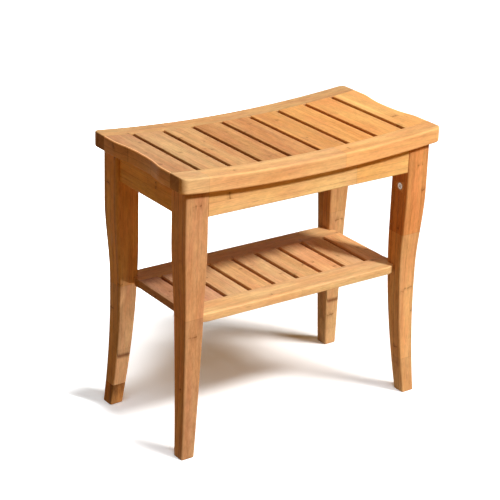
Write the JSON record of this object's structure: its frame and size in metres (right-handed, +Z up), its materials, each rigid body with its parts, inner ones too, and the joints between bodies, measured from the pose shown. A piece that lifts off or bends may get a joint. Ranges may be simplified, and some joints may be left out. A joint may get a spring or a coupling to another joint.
{
  "type": "bathroom stool",
  "caption": "Low slatted stool with a dipped seat, curved flaring legs, an apron frame and a slatted shelf, for sitting or for holding towels and toiletries.",
  "frame": {"origin": "on the floor, under the middle of the stool", "axes": "+X along the length of the seat, front face towards -Y, +Z up"},
  "size_m": [0.476, 0.254, 0.457],
  "materials": {
    "bamboo_slat": "clear satin lacquer over sanded laminated bamboo",
    "bamboo_rail": "clear satin lacquer over sanded laminated bamboo",
    "bamboo_leg": "clear satin lacquer over sanded laminated bamboo",
    "bamboo_apron": "clear satin lacquer over sanded laminated bamboo",
    "bamboo_dowel": "bare fluted dowel",
    "steel": "dull zinc plating"
  },
  "bodies": {
    "root": {"seat_front_rail": "bamboo_rail", "seat_back_rail": "bamboo_rail", "seat_end_board_left": "bamboo_slat", "seat_end_board_right": "bamboo_slat", "seat_slat_1": "bamboo_slat", "seat_slat_2": "bamboo_slat", "seat_slat_3": "bamboo_slat", "seat_slat_4": "bamboo_slat", "seat_slat_5": "bamboo_slat", "seat_slat_6": "bamboo_slat", "seat_slat_7": "bamboo_slat", "leg_front_left": "bamboo_leg", "leg_front_right": "bamboo_leg", "leg_back_left": "bamboo_leg", "leg_back_right": "bamboo_leg", "apron_front": "bamboo_apron", "apron_back": "bamboo_apron", "apron_left": "bamboo_apron", "apron_right": "bamboo_apron", "shelf_front_rail": "bamboo_rail", "shelf_back_rail": "bamboo_rail", "shelf_end_board_left": "bamboo_slat", "shelf_end_board_right": "bamboo_slat", "shelf_slat_1": "bamboo_slat", "shelf_slat_2": "bamboo_slat", "shelf_slat_3": "bamboo_slat", "shelf_slat_4": "bamboo_slat", "shelf_slat_5": "bamboo_slat", "shelf_slat_6": "bamboo_slat", "shelf_slat_7": "bamboo_slat", "apron_dowels": "bamboo_dowel", "shelf_dowels": "bamboo_dowel", "seat_studs": "steel", "cam_locks": "steel"}
  },
  "joints": []
}
